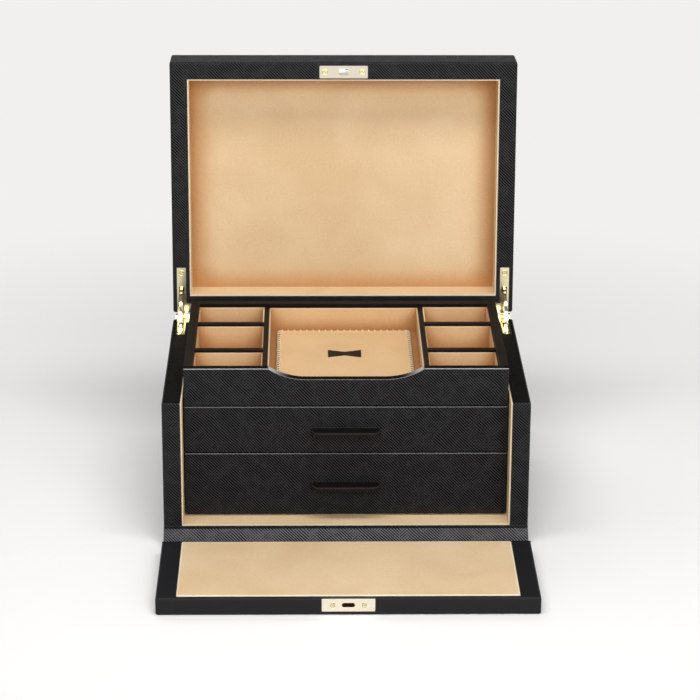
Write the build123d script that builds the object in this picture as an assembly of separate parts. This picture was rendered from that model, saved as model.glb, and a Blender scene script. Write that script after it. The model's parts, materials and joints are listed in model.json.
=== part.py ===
"""Cufflink box with a lift-out tray, two drawers, a quadrant-hinged lid and a drop front.

Leather-covered boards with suede linings. Millimetres, +Z up, +X to the right, -Y is the front.
The origin is the centre of the underside. At rest the lid stands open against its stays and the
front flap lies open on the table.
"""

from build123d import *
from math import atan, cos, degrees, sin, sqrt
import os

# ---------------------------------------------------------------- driving dimensions
outer_width = 260.0
outer_depth = 194.0  # closed box, front of the flap to the back
rim_height = 107.0  # table to the rim of the case
lid_depth = 31.0
panel = 13.0  # finished thickness of the walls, floor and flap
cover = 1.0  # leather cover on the boards
lining = 1.0  # suede on card
lining_drop = 0.5  # linings stop this far below a rim
felt = 1.0
edge_round = 1.6  # rounding of the covered outer edges

rim_gap = 0.4  # lid to case, closed
flap_gap = 0.3  # flap to the side walls, closed
mitre_gap = 0.3  # across the flap's mitred hinge line, closed
hinge_leather = 0.8

lid_open_angle = 93.0
lid_board_thickness = 5.0
lid_pad = 2.0  # padded suede panel in the lid

# lid hinges
pivot_overhang = 3.6  # pivot line behind the back face
leaf_inset = 6.6  # middle of a leaf from the outer side face
leaf_length = 39.0  # from the pivot line
leaf_width = 6.8
leaf_thickness = 1.6
heel_width = 11.6  # also the length of the barrel
barrel_shift = 1.2  # middle of the barrel, inwards from the middle of a leaf
heel_start = 11.0  # from the pivot line
leg_width = 5.8
leg_length = 7.8  # beyond the heel, towards the middle
barrel_radius = 2.8
centre_knuckle = 4.0
knuckle_gap = 0.3
pin_radius = 1.2
pin_clearance = 0.03
inlay_clearance = 0.1  # round a plate let into the leather and wood

# quadrant stays
stay_radius = 22.0
stay_width = 2.8  # in the direction of the radius
stay_thickness = 2.0
stay_head = 1.6  # how far the stop head stands out of the stay
stay_head_angle = 4.0
stay_head_gap_angle = 0.9  # head to leaf with the lid open
slot_width = 4.0
slot_start = 12.3  # from the pivot line
slot_end = 24.1
mortise_clearance = 0.6
mortise_spare_angle = 3.0

# screws
screw_head_radius = 1.9
screw_head_height = 1.1
screw_shank_radius = 0.9
screw_length = 8.0
screw_slot_width = 0.5
screw_slot_depth = 0.35
screw_clearance = 0.04
screw_ring = 0.25  # bevel round a head and round its hole
plate_screw_radius = 1.5  # heads of the two screws in the flap's plate
leaf_screw_at = 35.0  # from the pivot line
leg_screw_inset = 3.2  # from the end of the leg

# lock
plate_length = 36.0
plate_width = 9.4
plate_thickness = 1.5
plate_corner = 0.6
plate_shift = 0.9  # middle of the plates, inwards from the middle of a panel
lid_plate_screw_spacing = 28.0
flap_plate_screw_spacing = 21.4
keeper_width = 7.1
keeper_thickness = 2.2
keeper_length = 7.0
keeper_notch_depth = 2.4
keeper_notch_from = 2.6  # from the root of the keeper
keeper_notch_height = 3.2
slot_clearance = 0.9  # keeper to its slot, each side
lock_case_length = 30.0
lock_case_height = 24.0
lock_case_width = 7.0
bolt_thickness = 2.4
bolt_clearance = 0.3
bolt_travel = 2.2
keyhole_drop = 16.0  # below the flap's top edge
escutcheon_radius = 6.0
escutcheon_thickness = 1.0
key_pin_hole_radius = 1.6
key_slot_width = 1.4
key_slot_length = 4.5

# flap lining
flap_border = 14.0
flap_tip_border = 2.6
flap_foot_border = 0.8

# fronts, one above the other
fronts_setback = 17.0  # behind the front edges of the side walls
front_side_gap = 0.9  # fronts to the wall linings
front_gap = 0.7
floor_gap = 1.0  # lowest front above the floor lining
lower_front_height = 47.2
upper_front_height = 34.8
front_thickness = 9.0
front_round = 0.8

# drawer boxes
drawer_side = 5.0
drawer_bottom = 3.0
drawer_side_gap = 0.6  # a box is narrower than its front by this on each side
drawer_back_gap = 3.0
runner_gap = 0.3
lower_side_height = 40.0
upper_side_height = 26.0
drawer_travel = 105.0  # stops with a good third of the box still in the case
pull_length = 49.4
pull_projection = 11.5
pull_thickness = 3.2
pull_corner = 6.0  # its two front corners, seen from above
pull_round = 1.1

# shelves that carry the upper drawer and the tray
shelf = 3.0
shelf_front_gap = 0.5  # behind a front

# tray
tray_height = 28.1
tray_back_gap = 1.0
tray_wall = 6.4
tray_front_wall = 6.4
tray_bottom = 4.6
tray_round = 0.8
divider_drop = 2.5  # dividers stop below the tray's rim
long_divider = 3.6
long_divider_at = 57.7  # middle line, from the middle of the tray
cross_divider = 4.4
rear_cell = 34.6
front_cell = 40.0
cap_drop = 2.0  # leather turned over a divider, above the linings of the front and middle rows
rear_cap_drop = 0.4  # the same above the linings of the back row
centre_cap_drop = 0.9  # the same above the lining of the middle compartment
scoop_depth = 8.1
scoop_shoulder = 4.0  # radius of the scoop's two shoulders
scoop_flat = 56.8
scoop_overlap = 0.7  # the scoop starts this far over the long dividers
pad_margin = 5.0
pad_thickness = 4.2
bow_length = 24.4
bow_height = 14.4
bow_back = 6.8  # middle of the bow, behind the middle of the pad
bow_waist = 6.2
bow_thickness = 0.6

# ---------------------------------------------------------------- derived places
half_width = outer_width / 2
back_y = outer_depth / 2
toe_y = -outer_depth / 2  # front foot of the base, where the flap turns
walls_front_y = toe_y + panel
inner_x = half_width - panel  # bare inner face of a side wall
inner_back_y = back_y - panel
lined_x = inner_x - lining
lined_back_y = inner_back_y - lining
floor_z = panel
lined_floor_z = floor_z + lining
lid_rim_z = rim_height + rim_gap
lid_top_z = lid_rim_z + lid_depth
pivot_y = back_y + pivot_overhang
pivot_z = rim_height + rim_gap / 2
pivot_axis = Axis((0, pivot_y, pivot_z), (1, 0, 0))
flap_axis = Axis((0, toe_y, 0), (1, 0, 0))
leaf_x = half_width - leaf_inset
barrel_x = leaf_x - barrel_shift
fronts_y = walls_front_y + fronts_setback
front_half = lined_x - front_side_gap
lower_front_z = lined_floor_z + floor_gap
lower_front_top = lower_front_z + lower_front_height
upper_front_z = lower_front_top + front_gap
upper_front_top = upper_front_z + upper_front_height
tray_z = upper_front_top + front_gap
tray_top = tray_z + tray_height
tray_back_y = lined_back_y - tray_back_gap
front_back_y = fronts_y + front_thickness
shelf_front_y = front_back_y + shelf_front_gap
lower_shelf_z = lower_front_top - shelf / 2
upper_shelf_z = tray_z - runner_gap - shelf
lock_y = toe_y + panel / 2 + plate_shift
EACH_SIDE = (-1, 1)


# ---------------------------------------------------------------- helpers
def block(x0, x1, y0, y1, z0, z1):
    """A box between two corners."""
    x0, x1 = sorted((x0, x1))
    return Pos((x0 + x1) / 2, (y0 + y1) / 2, (z0 + z1) / 2) * Box(x1 - x0, y1 - y0, z1 - z0)


def side_profile(points, half):
    """A prism across the box, from points (y, z)."""
    outline = make_face(Polyline(*points, close=True))
    return extrude(Plane.YZ * outline, amount=half, both=True)


def solids_of(*shapes):
    """Separate solids in one node."""
    return Compound(children=[solid for shape in shapes for solid in shape.solids()])


def carved(shape, cutters):
    """A shape less each cutter in turn."""
    for cutter in cutters:
        shape = shape - cutter
    return shape


def rounded_block(x0, x1, y0, y1, z0, z1, radius):
    """A box with every edge rounded."""
    box = block(x0, x1, y0, y1, z0, z1)
    return fillet(box.edges(), radius)


def rounded_column(x0, x1, y0, y1, z0, z1):
    """A box rounded on every edge but those of its foot."""
    box = block(x0, x1, y0, y1, z0, z1)
    foot = box.edges().group_by(Axis.Z)[0]
    return fillet([edge for edge in box.edges() if edge not in foot], edge_round)


def ring_sector(radius_in, radius_out, start, end, thickness, x):
    """An arc of a ring about the lid's pivot line. Angles run from the front upwards."""
    span = end - start
    outer = CenterArc((0, 0), radius_out, start, span)
    inner = CenterArc((0, 0), radius_in, start, span)
    outline = make_face([outer, inner, Line(inner @ 0, outer @ 0), Line(inner @ 1, outer @ 1)])
    plane = Plane(origin=(x, pivot_y, pivot_z), x_dir=(0, -1, 0), z_dir=(-1, 0, 0))
    return plane * extrude(outline, amount=thickness / 2, both=True)


def opened_lid(shape):
    """From the closed lid to the rest pose."""
    return shape.rotate(pivot_axis, -lid_open_angle)


def opened_flap(shape):
    """From the closed flap to the rest pose."""
    return shape.rotate(flap_axis, 90)


def screw(x, y, face_z, down=True, radius=screw_head_radius):
    """A slotted wood screw with a flat head, flush with face_z and bevelled round its edge."""
    rim = Cylinder(radius, screw_head_height - screw_ring)
    bevel = Cone(radius, radius - screw_ring, screw_ring)
    shank = Cylinder(screw_shank_radius, screw_length)
    body = Pos(0, 0, -(screw_head_height + screw_ring) / 2) * rim
    body += Pos(0, 0, -screw_ring / 2) * bevel
    body += Pos(0, 0, -screw_length / 2) * shank
    slot = Box(2 * radius, screw_slot_width, 2 * screw_slot_depth)
    body -= Rot(0, 0, 35) * slot
    if not down:
        body = Rot(180, 0, 0) * body
    return Pos(x, y, face_z) * body


def screw_hole(x, y, face_z, down=True, radius=screw_head_radius):
    """The counterbored hole for a screw, bevelled at its mouth."""
    bore = radius + screw_clearance
    head = Cylinder(bore, screw_head_height + screw_clearance)
    mouth = Cone(bore, bore + 2 * screw_ring, 2 * screw_ring)
    shank = Cylinder(screw_shank_radius + screw_clearance, screw_length + 1)
    hole = Pos(0, 0, -(screw_head_height + screw_clearance) / 2) * head
    hole += mouth
    hole += Pos(0, 0, -(screw_length + 1) / 2) * shank
    if not down:
        hole = Rot(180, 0, 0) * hole
    return Pos(x, y, face_z) * hole


def upper_mirror(shape):
    """Case hinge geometry turned over into the lid."""
    return mirror(shape, Plane(origin=(0, 0, pivot_z), z_dir=(0, 0, 1)))


# ---------------------------------------------------------------- lid hinges
def leaf_outline(side, grow=0.0):
    """The flat of a case leaf, let into the rim. The inlay is the same shape, grown."""
    x = side * leaf_x
    top = rim_height + (rim_gap if grow else 0)
    low = rim_height - leaf_thickness - (0.05 if grow else 0)
    strip = block(x - leaf_width / 2 - grow, x + leaf_width / 2 + grow,
                  pivot_y - leaf_length - grow, back_y, low, top)
    heel_in = side * (barrel_x - heel_width / 2)
    heel = block(heel_in - side * grow, x + side * (leaf_width / 2 + grow),
                 pivot_y - heel_start - grow, back_y, low, top)
    leg_out = heel_in
    leg = block(leg_out, leg_out - side * (leg_length + grow),
                pivot_y - heel_start - grow, pivot_y - heel_start + leg_width + grow, low, top)
    return strip + heel + leg


def leaf_screw_places(side):
    leg_end = side * (barrel_x - heel_width / 2 - leg_length)
    return (
        (side * leaf_x, pivot_y - leaf_screw_at),
        (leg_end + side * leg_screw_inset, pivot_y - heel_start + leg_width / 2),
    )


def stay_slot(side):
    x = side * leaf_x
    return block(x - slot_width / 2, x + slot_width / 2, pivot_y - slot_end, pivot_y - slot_start,
                 rim_height - 2 * leaf_thickness, rim_height + 1)


def stay_mortise(side):
    """The curved pocket in the wood that the stay runs in."""
    deepest = lid_open_angle / 2 + stay_end_angle() + mortise_spare_angle
    curved = ring_sector(stay_radius - stay_width / 2 - mortise_clearance,
                         stay_radius + stay_width / 2 + stay_head + mortise_clearance,
                         -deepest, 0, stay_thickness + 2 * mortise_clearance, side * leaf_x)
    return curved + stay_slot(side)


def stay_end_angle():
    """How far a stay reaches past the pivot plane with the lid open."""
    under_leaf = degrees(leaf_thickness / stay_radius)
    return under_leaf + stay_head_gap_angle + stay_head_angle


def knuckle(x0, x1, hole_clearance):
    tube = Pos((x0 + x1) / 2, pivot_y, pivot_z) * Rot(0, 90, 0) * Cylinder(barrel_radius, x1 - x0)
    hole = Cylinder(pin_radius + hole_clearance, x1 - x0)
    return tube - Pos((x0 + x1) / 2, pivot_y, pivot_z) * Rot(0, 90, 0) * hole


def neck(x0, x1):
    """The tongue from a leaf to its knuckle."""
    tongue = block(x0, x1, back_y, pivot_y, rim_height - leaf_thickness, rim_height)
    bore = Rot(0, 90, 0) * Cylinder(pin_radius + pin_clearance, 2 * heel_width)
    return tongue - Pos((x0 + x1) / 2, pivot_y, pivot_z) * bore


def case_leaf(side):
    leaf = leaf_outline(side) - stay_slot(side)
    x = side * barrel_x
    inner = centre_knuckle / 2 + knuckle_gap
    for x0, x1 in ((x - heel_width / 2, x - inner), (x + inner, x + heel_width / 2)):
        leaf += neck(x0, x1) + knuckle(x0, x1, pin_clearance)
    for place in leaf_screw_places(side):
        leaf -= screw_hole(*place, rim_height)
    return leaf


def lid_leaf(side):
    """Built upside down on the case side, then turned over into the closed lid."""
    x = side * barrel_x
    leaf = leaf_outline(side) - stay_slot(side)
    for place in leaf_screw_places(side):
        leaf -= screw_hole(*place, rim_height)
    half = centre_knuckle / 2
    leaf += neck(x - half, x + half) + knuckle(x - half, x + half, pin_clearance)
    return upper_mirror(leaf)


def hinge_pin(side):
    x = side * barrel_x
    return Pos(x, pivot_y, pivot_z) * Rot(0, 90, 0) * Cylinder(pin_radius, heel_width)


def stay(side):
    """A quadrant stay with a stop head at each end, in the rest pose."""
    end = stay_end_angle()
    r_in = stay_radius - stay_width / 2
    r_out = stay_radius + stay_width / 2
    arc = ring_sector(r_in, r_out, -end, lid_open_angle + end, stay_thickness, side * leaf_x)
    for start in (-end, lid_open_angle + end - stay_head_angle):
        arc += ring_sector(r_in, r_out + stay_head, start, start + stay_head_angle,
                           stay_thickness, side * leaf_x)
    return arc


def hinge_inlays():
    """What the case rim loses to its leaves, screws and stays."""
    cut = []
    for side in EACH_SIDE:
        cut.append(leaf_outline(side, inlay_clearance))
        cut.append(stay_mortise(side))
        cut += [screw_hole(*place, rim_height) for place in leaf_screw_places(side)]
    return cut


# ---------------------------------------------------------------- case
def bevel_line(depth):
    """Top and foot of the base's bevel, depth below the mitre plane, as points (y, z)."""
    shift = depth * sqrt(2)
    return (walls_front_y + shift, panel), (toe_y + shift, 0)


def case_block():
    """The whole case as one rounded block, without its cavity."""
    top, foot = bevel_line(mitre_gap / 2 + hinge_leather)
    column = rounded_column(-half_width, half_width, walls_front_y, back_y, 0, rim_height)
    toe = block(-half_width, half_width, toe_y, walls_front_y + panel, 0, panel)
    ahead = side_profile([top, foot, (toe_y - panel, 0), (toe_y - panel, panel)], outer_width)
    return column + toe - ahead


def case_cavity():
    return block(-inner_x, inner_x, walls_front_y - 1, inner_back_y, floor_z, rim_height + 1)


def case_core():
    """The boards' shared outline, inside the leather."""
    top, foot = bevel_line(mitre_gap / 2 + hinge_leather)
    foot_y = foot[0] + felt
    points = [(foot_y, felt), (back_y - cover, felt), (back_y - cover, rim_height - cover),
              (walls_front_y + cover, rim_height - cover), (walls_front_y + cover, panel), top]
    return side_profile(points, half_width - cover)


def case_leather():
    skin = case_block() - case_core() - case_cavity()
    under = block(-half_width + cover, half_width - cover, toe_y, back_y - cover, -1, felt)
    return carved(skin - under, hinge_inlays())


def base_board():
    low = block(-half_width, half_width, toe_y, back_y, felt, floor_z)
    return case_core() & low


def wall_boards():
    """Left, right and back wall boards, standing on the base board."""
    inner = half_width - cover
    y0, y1 = walls_front_y + cover, back_y - cover
    left = block(-inner, -inner_x, y0, y1, floor_z, rim_height - cover)
    right = block(inner_x, inner, y0, y1, floor_z, rim_height - cover)
    back = block(-inner_x, inner_x, inner_back_y, y1, floor_z, rim_height - cover)
    return [carved(board, hinge_inlays()) for board in (left, right, back)]


def base_felt():
    top, foot = bevel_line(mitre_gap / 2 + hinge_leather)
    return block(-half_width + cover, half_width - cover, foot[0] + felt, back_y - cover, 0, felt)


def base_hinge_leather():
    """Leather over the base's bevel, up to the flap's hinge line."""
    outer_top, outer_foot = bevel_line(mitre_gap / 2)
    inner_top, inner_foot = bevel_line(mitre_gap / 2 + hinge_leather)
    return side_profile([outer_top, outer_foot, inner_foot, inner_top], half_width)


def floor_lining():
    return block(-inner_x, inner_x, walls_front_y + hinge_leather + mitre_gap, inner_back_y,
                 floor_z, lined_floor_z)


def wall_linings():
    top = rim_height - lining_drop
    left = block(-inner_x, -lined_x, walls_front_y + lining_drop, inner_back_y, lined_floor_z, top)
    right = block(lined_x, inner_x, walls_front_y + lining_drop, inner_back_y, lined_floor_z, top)
    back = block(-lined_x, lined_x, lined_back_y, inner_back_y, lined_floor_z, top)
    return solids_of(left, right, back)


def shelf_board(z):
    return block(-lined_x, lined_x, shelf_front_y, lined_back_y, z, z + shelf)


# ---------------------------------------------------------------- lid, modelled closed
def lid_block():
    solid = block(-half_width, half_width, toe_y, back_y, lid_rim_z, lid_top_z)
    return fillet(solid.edges(), edge_round)


def lid_core():
    return block(-half_width + cover, half_width - cover, toe_y + cover, back_y - cover,
                 lid_rim_z + cover, lid_top_z - cover)


def lid_recess():
    return block(-inner_x, inner_x, walls_front_y, inner_back_y,
                 lid_rim_z - 1, lid_top_z - cover - lid_board_thickness)


def lid_inlays():
    cut = [upper_mirror(shape) for shape in hinge_inlays()]
    cut.append(plate_inlay(lid_rim_z, lid_rim_z + plate_thickness + 0.05))
    for x, y in plate_screws(lid_plate_screw_spacing):
        cut.append(screw_hole(x, y, lid_rim_z, down=False))
    return cut


def lid_leather():
    return carved(lid_block() - lid_core() - lid_recess(), lid_inlays())


def lid_boards():
    """Top board and the four rails that it sits on."""
    ceiling = lid_top_z - cover - lid_board_thickness
    x, y0, y1 = half_width - cover, toe_y + cover, back_y - cover
    low = lid_rim_z + cover
    boards = {
        "lid_top_board": block(-x, x, y0, y1, ceiling, lid_top_z - cover),
        "lid_front_rail": block(-x, x, y0, walls_front_y, low, ceiling),
        "lid_back_rail": block(-x, x, inner_back_y, y1, low, ceiling),
        "lid_left_rail": block(-x, -inner_x, walls_front_y, inner_back_y, low, ceiling),
        "lid_right_rail": block(inner_x, x, walls_front_y, inner_back_y, low, ceiling),
    }
    return {name: carved(board, lid_inlays()) for name, board in boards.items()}


def lid_panel_pad():
    ceiling = lid_top_z - cover - lid_board_thickness
    return block(-inner_x, inner_x, walls_front_y, inner_back_y, ceiling - lid_pad, ceiling)


def lid_side_linings():
    low = lid_rim_z + lining_drop
    high = lid_top_z - cover - lid_board_thickness - lid_pad
    left = block(-inner_x, -lined_x, walls_front_y, inner_back_y, low, high)
    right = block(lined_x, inner_x, walls_front_y, inner_back_y, low, high)
    front = block(-lined_x, lined_x, walls_front_y, walls_front_y + lining, low, high)
    back = block(-lined_x, lined_x, lined_back_y, inner_back_y, low, high)
    return solids_of(left, right, front, back)


# ---------------------------------------------------------------- lock plates, keeper and lock
def plate_blank(z0, z1, grow=0.0):
    blank = block(-plate_length / 2 - grow, plate_length / 2 + grow,
                  lock_y - plate_width / 2 - grow, lock_y + plate_width / 2 + grow, z0, z1)
    return fillet(blank.edges().filter_by(Axis.Z), plate_corner)


def plate_inlay(z0, z1):
    return plate_blank(z0, z1, inlay_clearance)


def plate_screws(spacing):
    return [(side * spacing / 2, lock_y) for side in EACH_SIDE]


def lid_plate():
    plate = plate_blank(lid_rim_z, lid_rim_z + plate_thickness)
    for x, y in plate_screws(lid_plate_screw_spacing):
        plate -= screw_hole(x, y, lid_rim_z, down=False)
    return plate


def keeper():
    """A flat tongue with a notch for the bolt, soldered to the lid plate."""
    root = lid_rim_z
    tongue = block(-keeper_width / 2, keeper_width / 2, lock_y - keeper_thickness / 2,
                   lock_y + keeper_thickness / 2, root - keeper_length, root)
    tongue = fillet(tongue.edges().filter_by(Axis.Z), 0.45 * keeper_thickness)
    notch_top = root - keeper_notch_from
    notch = block(keeper_width / 2 - keeper_notch_depth, keeper_width / 2 + 1, lock_y - panel,
                  lock_y + panel, notch_top - keeper_notch_height, notch_top)
    return tongue - notch


def keeper_pocket():
    """Room for the keeper below the flap's top edge."""
    x = keeper_width / 2 + slot_clearance
    y = keeper_thickness / 2 + slot_clearance / 2
    pocket = block(-x, x, lock_y - y, lock_y + y, rim_height - keeper_length - slot_clearance,
                   rim_height + 1)
    return fillet(pocket.edges().filter_by(Axis.Z), 0.95 * y)


def bolt_room():
    """Heights of the bolt, taken from the keeper's notch."""
    notch_top = lid_rim_z - keeper_notch_from
    return notch_top - keeper_notch_height + bolt_clearance, notch_top - bolt_clearance


def lock_plate():
    plate = plate_blank(rim_height - plate_thickness, rim_height) - keeper_pocket()
    for x, y in plate_screws(flap_plate_screw_spacing):
        plate -= screw_hole(x, y, rim_height, radius=plate_screw_radius)
    return plate


def lock_case_block(grow=0.0):
    x, y = lock_case_length / 2 + grow, lock_case_width / 2 + grow
    top = rim_height - plate_thickness
    return block(-x, x, lock_y - y, lock_y + y, top - lock_case_height - grow, top)


def bolt_reach():
    """The bolt's ends when drawn: from beside the keeper to beside the right plate screw."""
    screw_side = flap_plate_screw_spacing / 2 - screw_shank_radius - screw_clearance
    return keeper_width / 2 + bolt_clearance, screw_side - 2 * bolt_clearance


def lock_bolt():
    low, high = bolt_room()
    y = bolt_thickness / 2
    return block(*bolt_reach(), lock_y - y, lock_y + y, low, high)


def lock_case():
    low, high = bolt_room()
    y = bolt_thickness / 2 + bolt_clearance
    track = block(0, bolt_reach()[1] + bolt_clearance, lock_y - y, lock_y + y,
                  low - bolt_clearance, high + bolt_clearance)
    case = lock_case_block() - keeper_pocket() - track
    for x, y in plate_screws(flap_plate_screw_spacing):
        case -= screw_hole(x, y, rim_height, radius=plate_screw_radius)
    return case - keyhole(lock_y)


def keyhole(depth_y):
    """Round hole with a slot below it, from the flap's outer face inwards."""
    z = rim_height - keyhole_drop
    run = depth_y - toe_y + 1
    hole = Pos(0, toe_y - 1 + run / 2, z) * Rot(90, 0, 0) * Cylinder(key_pin_hole_radius, run)
    slot = block(-key_slot_width / 2, key_slot_width / 2, toe_y - 1, depth_y,
                 z - key_slot_length, z)
    return hole + slot


def escutcheon():
    z = rim_height - keyhole_drop
    disc = Rot(90, 0, 0) * Cylinder(escutcheon_radius, escutcheon_thickness)
    return Pos(0, toe_y + escutcheon_thickness / 2, z) * disc - keyhole(lock_y)


def escutcheon_inlay():
    z = rim_height - keyhole_drop
    disc = Rot(90, 0, 0) * Cylinder(escutcheon_radius + inlay_clearance, 2 * escutcheon_thickness)
    return Pos(0, toe_y, z) * disc


# ---------------------------------------------------------------- flap, modelled closed
def flap_face_y():
    """Inner face of the closed flap."""
    return walls_front_y - flap_gap


def flap_bevel(depth):
    """Top and foot of the flap's own bevel, as points (y, z)."""
    shift = depth * sqrt(2)
    return (flap_face_y(), panel - flap_gap + shift), (toe_y, shift)


def flap_block():
    top, foot = flap_bevel(mitre_gap / 2 + hinge_leather)
    column = rounded_column(-half_width, half_width, toe_y, flap_face_y(), -panel, rim_height)
    below = side_profile([top, foot, (toe_y - panel, foot[1] - panel), (top[0] + panel, -2 * panel),
                          (top[0] + panel, top[1] + panel)], outer_width)
    return column - below


def flap_core():
    top, foot = flap_bevel(mitre_gap / 2 + hinge_leather)
    points = [(toe_y + cover, foot[1] + cover), (flap_face_y() - cover, top[1] - cover),
              (flap_face_y() - cover, rim_height - cover), (toe_y + cover, rim_height - cover)]
    return side_profile(points, half_width - cover)


def flap_lining_block():
    top, _ = flap_bevel(mitre_gap / 2 + hinge_leather)
    x = half_width - flap_border
    return block(-x, x, flap_face_y() - lining, flap_face_y(), top[1] + flap_foot_border,
                 rim_height - flap_tip_border)


def flap_inlays():
    cut = [plate_inlay(rim_height - plate_thickness - 0.05, rim_height + 1)]
    cut.append(lock_case_block(inlay_clearance))
    cut.append(escutcheon_inlay())
    cut.append(keyhole(lock_y))
    cut += [screw_hole(x, y, rim_height, radius=plate_screw_radius)
            for x, y in plate_screws(flap_plate_screw_spacing)]
    return cut


def flap_leather():
    return carved(flap_block() - flap_core() - flap_lining_block(), flap_inlays())


def flap_board():
    return carved(flap_core() - flap_lining_block(), flap_inlays())


def flap_hinge_leather():
    outer_top, outer_foot = flap_bevel(mitre_gap / 2)
    inner_top, inner_foot = flap_bevel(mitre_gap / 2 + hinge_leather)
    return side_profile([outer_top, outer_foot, inner_foot, inner_top], half_width)


# ---------------------------------------------------------------- drawers
def pull(z):
    """A thin ledge with rounded corners, proud of the front."""
    y = fronts_y - pull_projection / 2
    bar = Pos(0, y, z) * Box(pull_length, pull_projection, pull_thickness)
    front_corners = bar.edges().filter_by(Axis.Z).group_by(Axis.Y)[0]
    bar = fillet(front_corners, pull_corner)
    return fillet(bar.edges().group_by(Axis.Y)[0].filter_by(Axis.X), pull_round)


def drawer(name, front_z, front_top, box_z, side_height):
    """One drawer as its separate boards, its lining and its pull."""
    x = front_half - drawer_side_gap
    inner = x - drawer_side
    y0, y1 = front_back_y, lined_back_y - drawer_back_gap
    top = box_z + side_height
    bottom_top = box_z + drawer_bottom
    front = rounded_block(-front_half, front_half, fronts_y, front_back_y, front_z, front_top,
                          front_round)
    cup = block(-inner, inner, y0, y1 - drawer_side, bottom_top, top - lining_drop)
    room = block(-inner + lining, inner - lining, y0 + lining, y1 - drawer_side - lining,
                 bottom_top + lining, top + 1)
    return {
        f"{name}_front": front,
        f"{name}_left_side": block(-x, -inner, y0, y1, bottom_top, top),
        f"{name}_right_side": block(inner, x, y0, y1, bottom_top, top),
        f"{name}_back": block(-inner, inner, y1 - drawer_side, y1, bottom_top, top),
        f"{name}_bottom": block(-x, x, y0, y1, box_z, bottom_top),
        f"{name}_lining": cup - room,
        f"{name}_pull": pull((front_z + front_top) / 2),
    }


# ---------------------------------------------------------------- tray
tray_inner_x = front_half - tray_wall
tray_inner_back = tray_back_y - tray_wall
tray_inner_front = fronts_y + tray_front_wall
tray_floor = tray_z + tray_bottom
divider_top = tray_top - divider_drop
rear_divider_y = tray_inner_back - rear_cell - cross_divider
front_divider_y = tray_inner_front + front_cell
centre_x = long_divider_at - long_divider / 2


def scoop():
    """The dip in the tray's front: a tight shoulder and a wide curve each side of a flat."""
    reach = centre_x + scoop_overlap
    flat = scoop_flat / 2
    low, high = tray_top - scoop_depth, tray_top
    turn = 2 * atan(scoop_depth / (reach - flat))
    join_x = reach - scoop_shoulder * sin(turn)
    join_z = high - scoop_shoulder * (1 - cos(turn))
    lines = [Line((-flat, low), (flat, low))]
    for side in EACH_SIDE:
        lines.append(TangentArc((side * flat, low), (side * join_x, join_z), tangent=(side, 0)))
        lines.append(TangentArc((side * reach, high), (side * join_x, join_z), tangent=(-side, 0)))
        lines.append(Line((side * reach, high), (side * reach, high + 5)))
    lines.append(Line((reach, high + 5), (-reach, high + 5)))
    plane = Plane(origin=(0, fronts_y - 1, 0), x_dir=(1, 0, 0), z_dir=(0, -1, 0))
    return plane * extrude(make_face(lines), amount=-(tray_front_wall + 2))


def tray_walls():
    z = tray_z + tray_bottom
    front = block(-front_half, front_half, fronts_y, tray_inner_front, tray_z, tray_top)
    outer = front.edges().group_by(Axis.Y)[0]
    front = fillet(outer, tray_round) - scoop()
    return {
        "tray_front": front,
        "tray_back": block(-tray_inner_x, tray_inner_x, tray_inner_back, tray_back_y, z, tray_top),
        "tray_left_wall": block(-front_half, -tray_inner_x, tray_inner_front, tray_back_y, z,
                                tray_top),
        "tray_right_wall": block(tray_inner_x, front_half, tray_inner_front, tray_back_y, z,
                                 tray_top),
        "tray_bottom": block(-front_half, front_half, tray_inner_front, tray_back_y, tray_z, z),
    }


def tray_cells():
    """The seven compartments as (x0, x1, y0, y1), bare of linings."""
    rows = (
        (tray_inner_front, front_divider_y),
        (front_divider_y + cross_divider, rear_divider_y),
        (rear_divider_y + cross_divider, tray_inner_back),
    )
    outer_x = long_divider_at + long_divider / 2
    cells = [(-centre_x, centre_x, tray_inner_front, tray_inner_back)]
    for side in EACH_SIDE:
        x0, x1 = sorted((side * outer_x, side * tray_inner_x))
        cells += [(x0, x1, y0, y1) for y0, y1 in rows]
    return cells


def long_dividers():
    half = long_divider / 2
    return solids_of(*[
        block(side * long_divider_at - half, side * long_divider_at + half, tray_inner_front,
              tray_inner_back, tray_floor, divider_top) for side in EACH_SIDE
    ])


def cross_dividers():
    x0 = long_divider_at + long_divider / 2
    return solids_of(*[
        block(side * x0, side * tray_inner_x, y, y + cross_divider, tray_floor, divider_top)
        for side in EACH_SIDE for y in (front_divider_y, rear_divider_y)
    ])


def cell_lining(cell):
    x0, x1, y0, y1 = cell
    drop = rear_cap_drop if y0 > rear_divider_y else cap_drop
    rim = divider_top - drop
    top = rim
    if x0 < 0 < x1:
        rim = divider_top - centre_cap_drop
        top = tray_top - scoop_depth - cap_drop
    cup = block(x0, x1, y0, y1, tray_floor, rim)
    room = block(x0 + lining, x1 - lining, y0 + lining, y1 - lining, tray_floor + lining, tray_top)
    low_front = block(x0, x1, y0, y0 + lining, top, tray_top)
    return cup - room - low_front


def tray_linings():
    return solids_of(*[cell_lining(cell) for cell in tray_cells()])


pad_z = tray_floor + lining
pad_x = centre_x - lining - pad_margin
pad_y0 = tray_inner_front + lining + pad_margin
pad_y1 = tray_inner_back - lining - pad_margin


def tray_pad():
    return block(-pad_x, pad_x, pad_y0, pad_y1, pad_z, pad_z + pad_thickness)


def bow_inlay():
    """A plain bow-shaped patch in the middle of the pad."""
    x, y, w = bow_length / 2, bow_height / 2, bow_waist / 2
    outline = [(-x, -y), (0, -w), (x, -y), (x, y), (0, w), (-x, y)]
    patch = extrude(make_face(Polyline(*outline, close=True)), amount=bow_thickness)
    return Pos(0, (pad_y0 + pad_y1) / 2 + bow_back, pad_z + pad_thickness) * patch


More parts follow.
